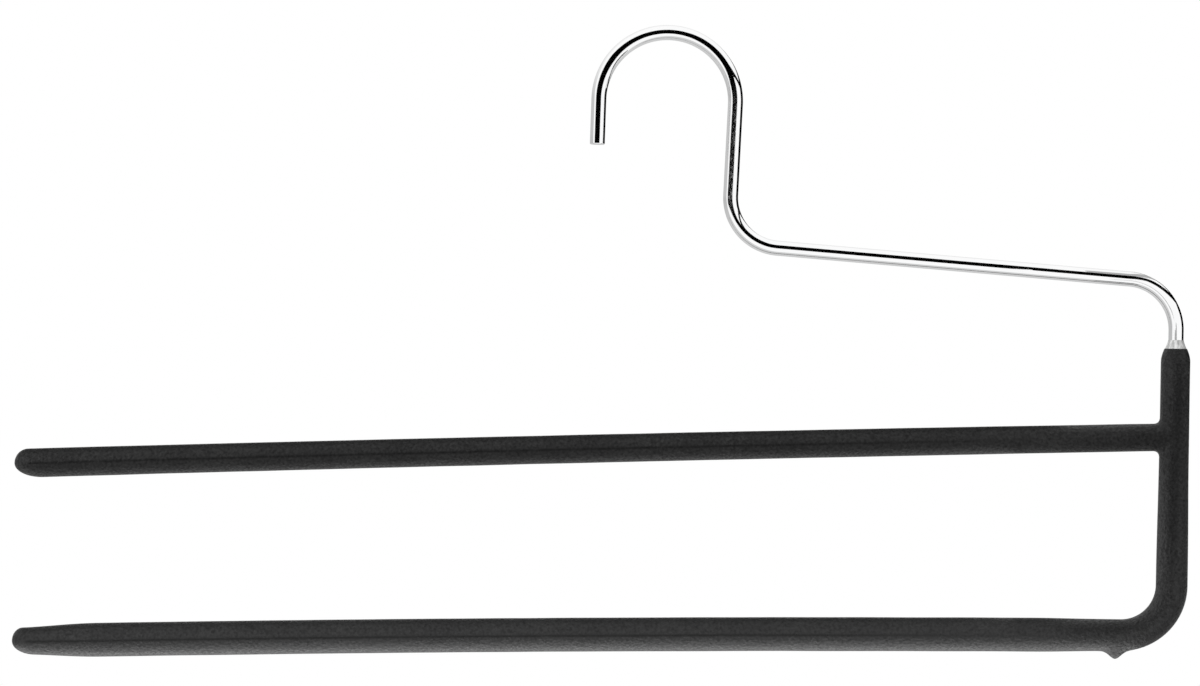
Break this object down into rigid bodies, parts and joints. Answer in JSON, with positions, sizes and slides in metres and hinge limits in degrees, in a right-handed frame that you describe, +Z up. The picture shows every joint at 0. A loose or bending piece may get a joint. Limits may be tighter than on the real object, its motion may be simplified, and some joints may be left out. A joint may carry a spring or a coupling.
{
  "type": "double trouser hanger",
  "caption": "Open-ended trouser hanger: a bent chromed wire makes the hook and shoulder, and black-coated arms, one over the other, hold trousers slid on from the free end.",
  "frame": {"origin": "the point inside the hook's crown that rests on the wardrobe rail", "axes": "+X along the arms towards the closed end, +Y across the wire's plane, +Z up along the hook"},
  "size_m": [0.3533, 0.0102, 0.1902],
  "materials": {
    "chrome_wire": "polished bright chrome plate on drawn steel wire",
    "rod_steel": "drawn steel rod, hidden under the coats",
    "weld_steel": "scaled weld metal, hidden under the coats",
    "clear_vinyl": "clear soft vinyl, slightly milky",
    "black_vinyl": "satin black soft vinyl, dipped"
  },
  "bodies": {
    "root": {"frame_wire": "chrome_wire", "upper_arm_rod": "rod_steel", "arm_weld": "weld_steel", "clear_base_coat": "clear_vinyl", "black_grip_coat": "black_vinyl"}
  },
  "joints": []
}
